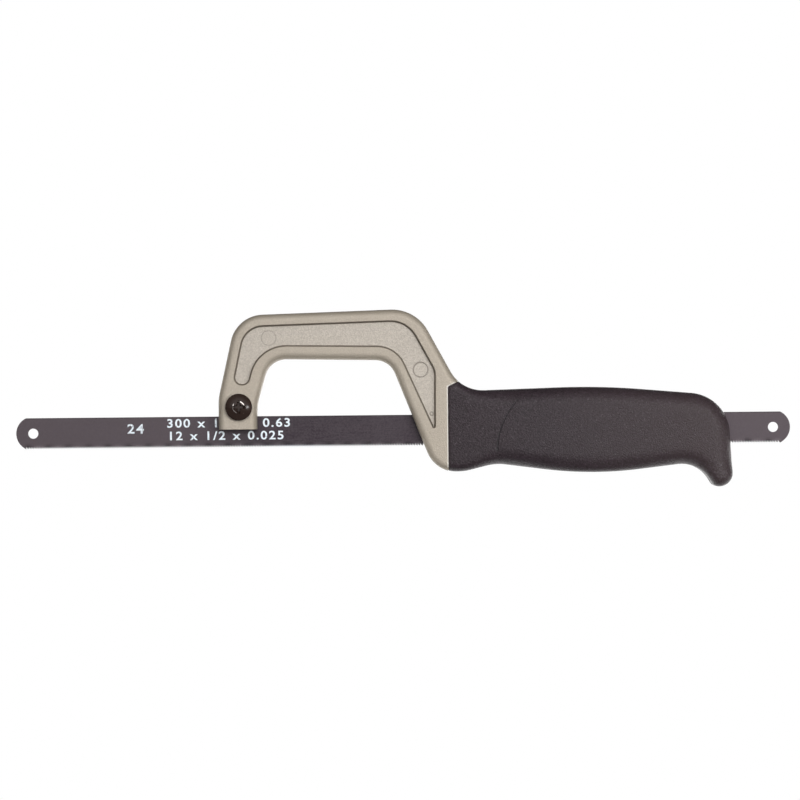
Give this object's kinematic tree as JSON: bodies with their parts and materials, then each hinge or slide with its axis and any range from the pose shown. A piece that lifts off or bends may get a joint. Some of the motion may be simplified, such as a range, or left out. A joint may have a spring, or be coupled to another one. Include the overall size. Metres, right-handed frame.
{
  "type": "hacksaw",
  "caption": "Mini hacksaw: a full-length blade clamped under the single arm of a cast frame, running back through a moulded grip",
  "frame": {"origin": "middle of the saw's box, halfway between the blade's two pin holes, on the blade's mid-plane", "axes": "+X along the blade towards the grip, +Z away from the teeth, +Y through the thickness towards the side with the grip screws"},
  "size_m": [0.3138, 0.021, 0.0728],
  "materials": {
    "cast_alloy": "fine-cast, warm light grey",
    "cover_alloy": "as cast",
    "blade_steel": "dark violet-grey lacquer",
    "black_screw": "glossy black",
    "jaw_steel": "phosphated",
    "plated_steel": "zinc plated",
    "guide_nylon": "matt black",
    "grip_plastic": "fine-grained matt black",
    "insert_brass": "turned"
  },
  "bodies": {
    "frame": {"frame": "cast_alloy", "clamp_washer": "black_screw", "channel_cover": "cover_alloy", "cover_screws": "plated_steel", "front_blade_guide": "guide_nylon", "rear_blade_guide": "guide_nylon", "grip_shell_near": "grip_plastic", "grip_shell_far": "grip_plastic", "grip_inserts": "insert_brass", "grip_screws": "plated_steel"},
    "clamp_screw": {"clamp_screw": "black_screw", "screw_stop_ring": "plated_steel"},
    "clamp_jaw": {"clamp_jaw": "jaw_steel"},
    "blade": {"blade": "blade_steel"}
  },
  "joints": [
    {"name": "clamp_screw_turn", "type": "hinge", "parent": "frame", "child": "clamp_screw", "pos_m": [-0.0663, 0, -0.0025], "axis": [0, -1, 0], "range_deg": [0, 720]},
    {"name": "clamp_jaw_slide", "type": "slide", "parent": "frame", "child": "clamp_jaw", "axis": [0, 1, 0], "range_m": [0, 0.0016]},
    {"name": "blade_slide", "type": "slide", "parent": "frame", "child": "blade", "axis": [1, 0, 0], "range_m": [-0.12, 0.08]}
  ],
  "couplings": [
    {"joint": "clamp_screw_turn", "follows": "clamp_jaw_slide", "rad_per_m": 7854}
  ]
}
